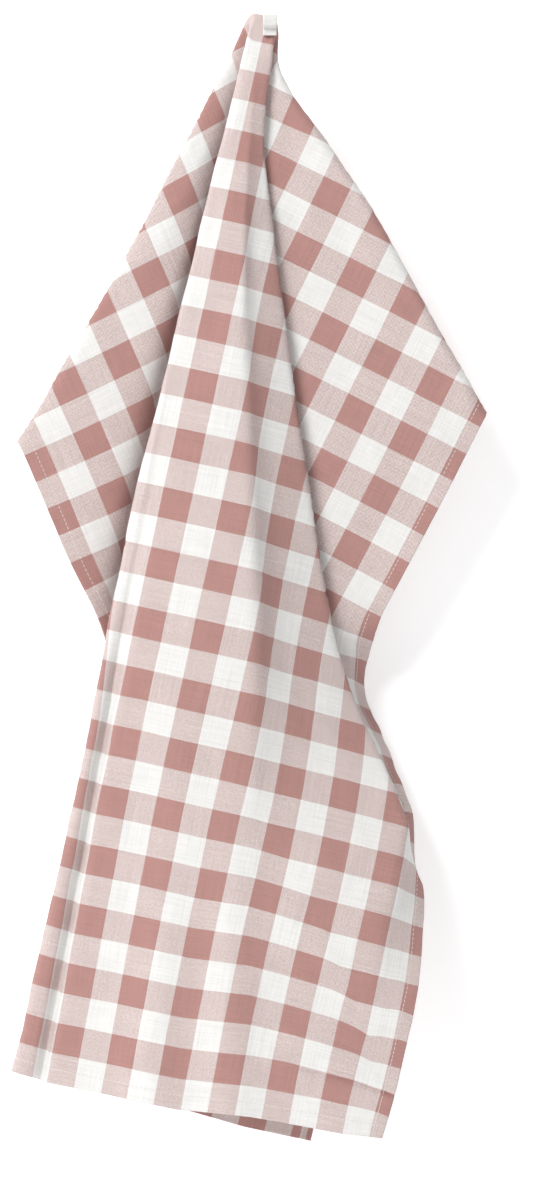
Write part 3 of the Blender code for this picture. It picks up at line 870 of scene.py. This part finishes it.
def tape_loop(tape, material):
    """The hanging loop: a band of tape, thinner at its woven edges, doubled over and sewn together."""
    line, run = tape_line(tape)
    along = np.gradient(line, axis=0)
    along = along / np.linalg.norm(along, axis=1, keepdims=True)
    side = np.stack([-along[:, 1], along[:, 0]], axis=-1)
    width = LOOP_HIGH.x - LOOP_LOW.x - TAPE_MARGIN
    centre = (LOOP_HIGH.x + LOOP_LOW.x) / 2
    across = np.linspace(-0.5, 0.5, 15)
    edge = np.clip((0.5 - np.abs(across)) / EDGE_SHARE, 0, 1) ** 0.5
    half = tape.tape / 2 * (EDGE_THIN + (1 - EDGE_THIN) * edge)
    cup = CUP * (4 * across**2)
    points, uv_at = [], []
    for face in (1, -1):
        for i, (y, z) in enumerate(line):
            for j, share in enumerate(across):
                wave = TAPE_WAVE * math.sin(2 * math.pi * run[i] / TAPE_WAVE_LENGTH + 3 * share)
                lift = face * half[j] + wave - cup[j]
                x = centre + share * (width + SIDE_WANDER * math.sin(run[i] * 2100))
                points.append((x, y + side[i, 0] * lift, z + side[i, 1] * lift))
                uv_at.append((share * width, run[i]))
    steps, wide = len(line), len(across)
    number = np.arange(steps * wide).reshape(steps, wide)
    a, b, c, d = number[:-1, :-1], number[1:, :-1], number[1:, 1:], number[:-1, 1:]
    outer = np.stack([a, b, c, d], axis=-1).reshape(-1, 4)
    rim = np.concatenate([number[0, :], number[1:, -1], number[-1, -2::-1], number[-2:0:-1, 0]])
    following = np.roll(rim, -1)
    total = steps * wide
    faces = np.concatenate([
        outer[:, ::-1], outer + total, np.stack([rim, rim + total, following + total, following], axis=-1),
    ])
    loop = piece("tape_loop", points, faces.tolist(), material, np.array(uv_at + uv_at)[faces % total])
    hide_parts("hanging_loop")
    return loop


# The stitches on the tape: from one to the next, the length of one (m), and how much finer their thread is.
BOX_PITCH, BOX_STITCH, FINER = 0.0017, 0.0014, 0.8


def tape_stitching(tape, stitches, material):
    """The box of stitches that holds the loop's sewn end, on its front."""
    line, _ = tape_line(tape)
    front = line[-1][0] - tape.tape / 2
    beside, below, above = 0.0011, 0.0010, 0.0002
    low, high = LOOP_LOW.z + below, LOOP_LOW.z + tape.sewn - above
    left, right = LOOP_LOW.x + beside, LOOP_HIGH.x - beside
    corners = ((left, low), (right, low), (right, high), (left, high), (left, low), (right, high))
    places, along = [], []
    for (x0, z0), (x1, z1) in zip(corners, corners[1:]):
        length = math.hypot(x1 - x0, z1 - z0)
        count = max(1, round(length / BOX_PITCH))
        for one in range(count):
            at = (one + 0.5) / count
            places.append((x0 + (x1 - x0) * at, front, z0 + (z1 - z0) * at))
            along.append(((x1 - x0) / length, 0, (z1 - z0) / length))
    outward = np.tile((0.0, -1.0, 0.0), (len(places), 1))
    thread = rows_of_stitches(
        "loop_stitching", np.array(places), np.array(along), outward, BOX_STITCH, stitches.thread * FINER, material)
    return thread


# ---------------------------------------------------------------------------------------------------------------
# Stage.
KEY_PLACE = (-1.95, -2.9, 2.1)
KEY_AIM = (0.0, 0.0, -0.36)
KEY_SIZE = 1.8


def backdrop_sheet(stage, material):
    """A wall that runs down and round into the floor."""
    bend, top, front, half_width = 0.5, 1.6, -4.0, 2.6
    profile = [(stage.wall, top)]
    for turn in np.linspace(0, math.pi / 2, 13):
        profile.append((stage.wall - bend + bend * math.cos(turn), stage.floor + bend - bend * math.sin(turn)))
    profile.append((front, stage.floor))
    points = [(x, y, z) for y, z in profile for x in (-half_width, half_width)]
    faces = [(2 * i, 2 * i + 2, 2 * i + 3, 2 * i + 1) for i in range(len(profile) - 1)]
    mesh = bpy.data.meshes.new("backdrop")
    mesh.from_pydata(points, [], faces)
    mesh.materials.append(material)
    mesh.polygons.foreach_set("use_smooth", [True] * len(faces))
    obj = bpy.data.objects.new("backdrop", mesh)
    bpy.context.scene.collection.objects.link(obj)


def area_light(name, place, aim, size, power):
    """A round soft light that points at aim."""
    light = bpy.data.lights.new(name, "AREA")
    light.shape = "DISK"
    light.size = size
    light.energy = power
    obj = bpy.data.objects.new(name, light)
    obj.location = place
    obj.rotation_euler = (Vector(aim) - Vector(place)).to_track_quat("-Z", "Y").to_euler()
    bpy.context.scene.collection.objects.link(obj)


def camera(stage):
    """A long lens, level, in front of the towel: the long side of the picture takes in seen_height."""
    data = bpy.data.cameras.new("camera")
    data.sensor_width = 36.0
    data.lens = data.sensor_width * stage.away / stage.seen_height
    data.clip_end = 60
    obj = bpy.data.objects.new("camera", data)
    obj.location = (stage.aim_x, -stage.away, stage.aim_z)
    obj.rotation_euler = (math.pi / 2, 0, 0)
    bpy.context.scene.collection.objects.link(obj)
    bpy.context.scene.camera = obj


def surroundings(strength):
    """Even white light from all round."""
    world = bpy.data.worlds.new("studio")
    world.use_nodes = True
    light = world.node_tree.nodes["Background"]
    light.inputs["Color"].default_value = (1, 1, 1, 1)
    light.inputs["Strength"].default_value = strength
    bpy.context.scene.world = world


# ---------------------------------------------------------------------------------------------------------------
# Operators, panel and registration.
class TOWEL_OT_cloth(bpy.types.Operator):
    """Hangs the gingham cloth in its folds, with its stitched hems"""

    bl_idname = "towel.cloth"
    bl_label = "Cloth and hems"

    def execute(self, context):
        sizes, stitches, _, colours, _ = settings()
        drape = Drape(sizes.right)
        towel = cloth_sheet(drape, sizes, stitches, gingham(sizes, colours))
        stitching = hem_stitching(drape, sizes, stitches, sewing_thread(colours))
        return {"FINISHED"}


class TOWEL_OT_loop(bpy.types.Operator):
    """Adds the tape loop and the stitches that hold it"""

    bl_idname = "towel.loop"
    bl_label = "Hanging loop"

    def execute(self, context):
        _, stitches, tape, colours, _ = settings()
        tape_loop(tape, woven_tape(tape, colours))
        tape_stitching(tape, stitches, sewing_thread(colours))
        return {"FINISHED"}


class TOWEL_OT_stage(bpy.types.Operator):
    """Adds the pale wall and floor, the light and the camera"""

    bl_idname = "towel.stage"
    bl_label = "Stage"

    def execute(self, context):
        colours, stage = settings()[3:]
        backdrop_sheet(stage, backdrop(colours, stage.glow))
        area_light("key", KEY_PLACE, KEY_AIM, KEY_SIZE, stage.key)
        surroundings(stage.fill)
        camera(stage)
        context.scene.view_settings.view_transform = "Standard"
        return {"FINISHED"}


class TOWEL_PT_panel(bpy.types.Panel):
    """Sizes, colours and one button for each piece"""

    bl_label = "Tea towel"
    bl_idname = "TOWEL_PT_panel"
    bl_space_type = "VIEW_3D"
    bl_region_type = "UI"
    bl_category = "Towel"

    def draw(self, context):
        for group in settings():
            box = self.layout.box()
            for name in group.__annotations__:
                box.prop(group, name)
        for operator in OPERATORS:
            self.layout.operator(operator.bl_idname)


GROUPS = (
    ("towel_sizes", TowelSizes), ("stitch_sizes", StitchSizes), ("tape_sizes", TapeSizes),
    ("towel_colours", TowelColours), ("stage_sizes", StageSizes),
)
OPERATORS = (TOWEL_OT_cloth, TOWEL_OT_loop, TOWEL_OT_stage)


def register():
    for name, group in GROUPS:
        bpy.utils.register_class(group)
        setattr(bpy.types.Scene, name, PointerProperty(type=group))
    for one in (*OPERATORS, TOWEL_PT_panel):
        bpy.utils.register_class(one)


def unregister():
    for one in (TOWEL_PT_panel, *reversed(OPERATORS)):
        bpy.utils.unregister_class(one)
    for name, group in reversed(GROUPS):
        delattr(bpy.types.Scene, name)
        bpy.utils.unregister_class(group)


def main():
    register()
    bpy.ops.towel.cloth()
    bpy.ops.towel.loop()
    bpy.ops.towel.stage()


if __name__ == "__main__":
    main()
